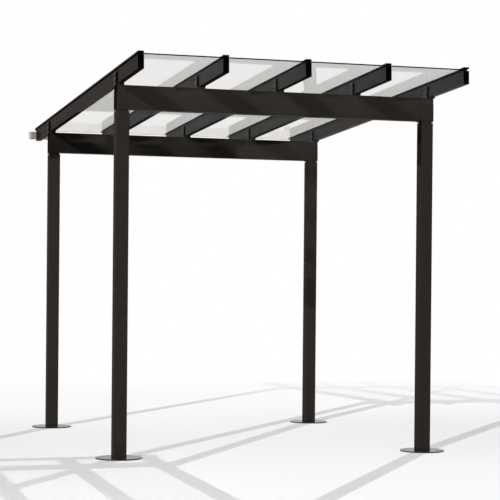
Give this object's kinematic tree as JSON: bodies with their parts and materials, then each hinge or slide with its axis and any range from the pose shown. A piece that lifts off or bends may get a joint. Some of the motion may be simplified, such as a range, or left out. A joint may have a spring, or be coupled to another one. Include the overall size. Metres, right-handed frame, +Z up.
{
  "type": "glass-roofed pergola",
  "caption": "Free-standing pergola: slim square posts on round plates carry beams, sloping rafters, clear glass panes and a rear gutter.",
  "frame": {"origin": "on the ground under the centre of the roof's outline, gutter included", "axes": "+X along the beams to the right seen from the high front, +Y from the high front to the low rear, +Z up"},
  "size_m": [2.415, 3.676, 2.5514],
  "materials": {
    "frame_coat": "satin",
    "base_coat": "satin",
    "cover_coat": "satin",
    "cap_plastic": "satin",
    "clear_glass": "polished",
    "seal_rubber": "matte",
    "gutter_metal": "satin"
  },
  "bodies": {
    "root": {"base_plate_front_left": "base_coat", "base_plate_front_right": "base_coat", "base_plate_rear_left": "base_coat", "base_plate_rear_right": "base_coat", "cover_strip_1": "cover_coat", "cover_strip_2": "cover_coat", "cover_strip_3": "cover_coat", "cover_strip_4": "cover_coat", "cover_strip_5": "cover_coat", "front_beam": "frame_coat", "front_beam_cap_left": "cap_plastic", "front_beam_cap_right": "cap_plastic", "front_rafter_shoes": "frame_coat", "glass_pane_1": "clear_glass", "glass_pane_2": "clear_glass", "glass_pane_3": "clear_glass", "glass_pane_4": "clear_glass", "glass_stops": "cover_coat", "glazing_seals_lower": "seal_rubber", "glazing_seals_upper": "seal_rubber", "gutter": "gutter_metal", "gutter_end_left": "gutter_metal", "gutter_end_right": "gutter_metal", "gutter_outlet": "gutter_metal", "gutter_straps": "gutter_metal", "post_front_left": "frame_coat", "post_front_right": "frame_coat", "post_head_front_left": "frame_coat", "post_head_front_right": "frame_coat", "post_head_rear_left": "frame_coat", "post_head_rear_right": "frame_coat", "post_rear_left": "frame_coat", "post_rear_right": "frame_coat", "rafter_1": "frame_coat", "rafter_2": "frame_coat", "rafter_3": "frame_coat", "rafter_4": "frame_coat", "rafter_5": "frame_coat", "rafter_front_caps": "cap_plastic", "rafter_rear_caps": "cap_plastic", "rear_beam": "frame_coat", "rear_beam_cap_left": "cap_plastic", "rear_beam_cap_right": "cap_plastic", "rear_rafter_shoes": "frame_coat"}
  },
  "joints": []
}
